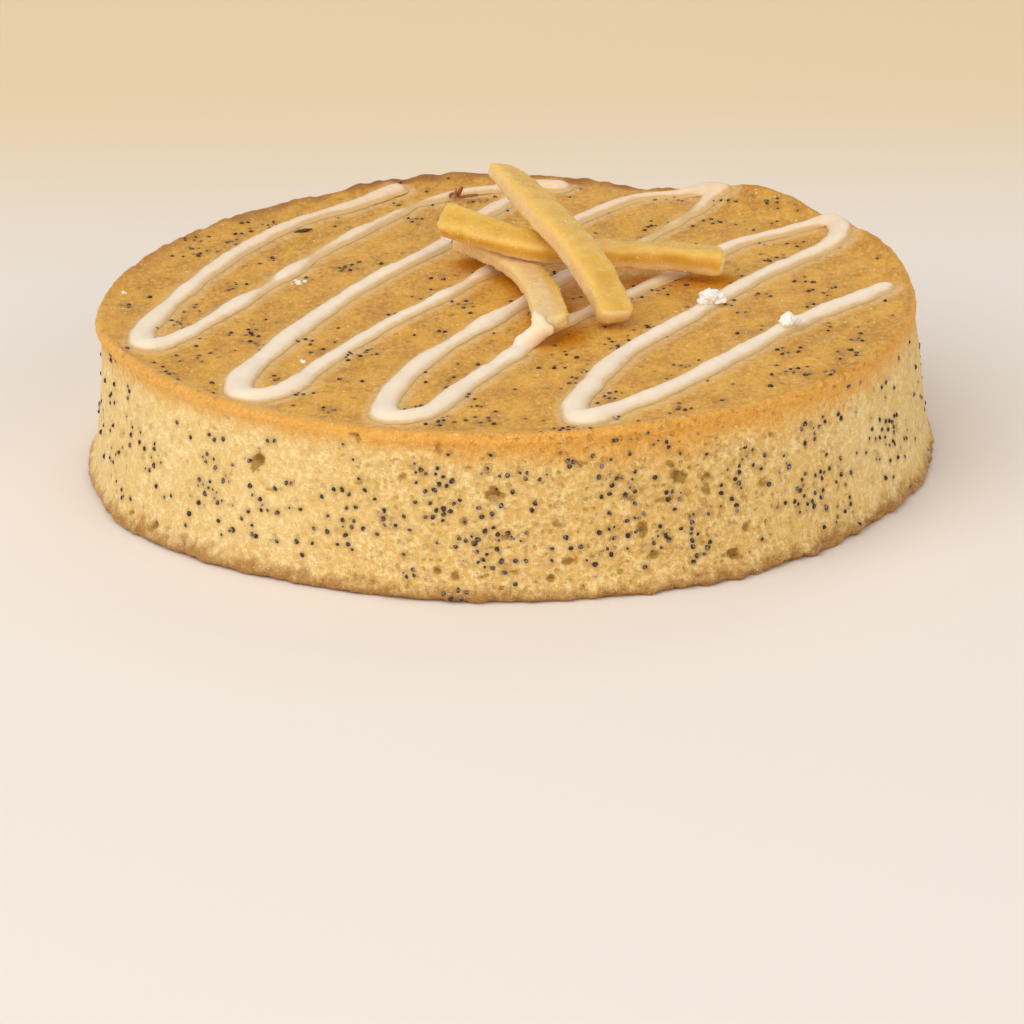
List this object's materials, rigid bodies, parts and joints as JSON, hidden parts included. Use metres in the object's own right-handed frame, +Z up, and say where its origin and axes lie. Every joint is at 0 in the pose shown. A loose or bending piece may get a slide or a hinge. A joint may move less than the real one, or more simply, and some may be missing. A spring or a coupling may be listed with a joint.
{
  "type": "lemon poppy seed cake",
  "caption": "Round lemon poppy seed cake with a browned top, a zigzag of thick white icing and strips of candied lemon peel.",
  "frame": {"origin": "centre of the cake's flat base", "axes": "+Z up through the cake's top; the side shown in the picture faces -Y"},
  "size_m": [0.2, 0.2, 0.0604],
  "materials": {
    "cake_crumb": "matte browned sponge",
    "candied_peel": "glossy sugared peel"
  },
  "bodies": {
    "root": {"cake": "cake_crumb", "peel_strip_curved": "candied_peel", "peel_strip_long": "candied_peel", "peel_strip_leaning": "candied_peel"}
  },
  "joints": []
}
